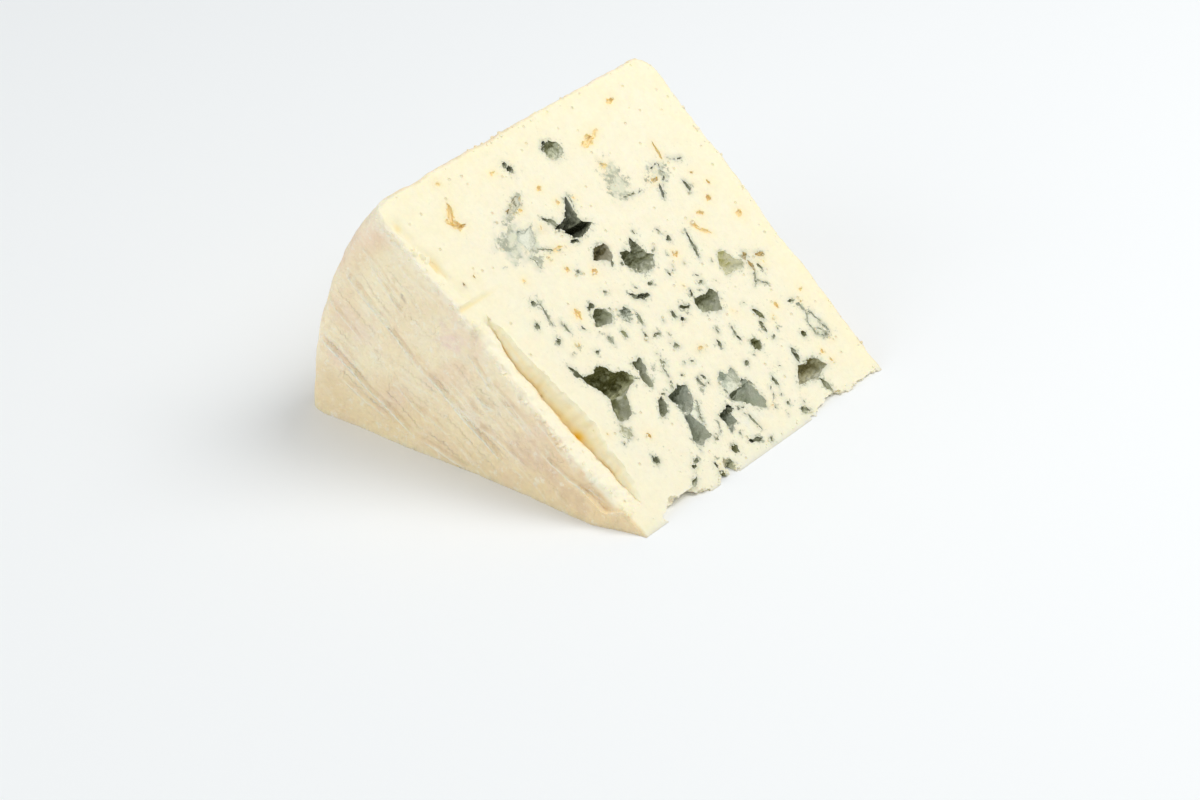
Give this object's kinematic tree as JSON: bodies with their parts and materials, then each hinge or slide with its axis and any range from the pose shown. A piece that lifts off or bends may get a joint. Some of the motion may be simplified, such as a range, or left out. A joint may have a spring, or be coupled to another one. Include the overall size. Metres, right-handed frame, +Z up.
{
  "type": "blue cheese wedge",
  "caption": "Wedge cut from a round blue cheese, lying on one cut face, with a pale rind and mould-lined pockets in the cut face that shows.",
  "frame": {"origin": "centre of the wedge's bounding box, at the bottom, on the surface it rests on", "axes": "+Z up, square to the lower cut face that the wedge lies on; +X along the wheel's axis, from the flat rind that the picture shows to the hidden one; +Y from the thin tip edge towards the round rim"},
  "size_m": [0.104, 0.098, 0.0617],
  "materials": {
    "cheese_wedge": null
  },
  "bodies": {
    "root": {"cheese_wedge": "cheese_wedge"}
  },
  "joints": []
}
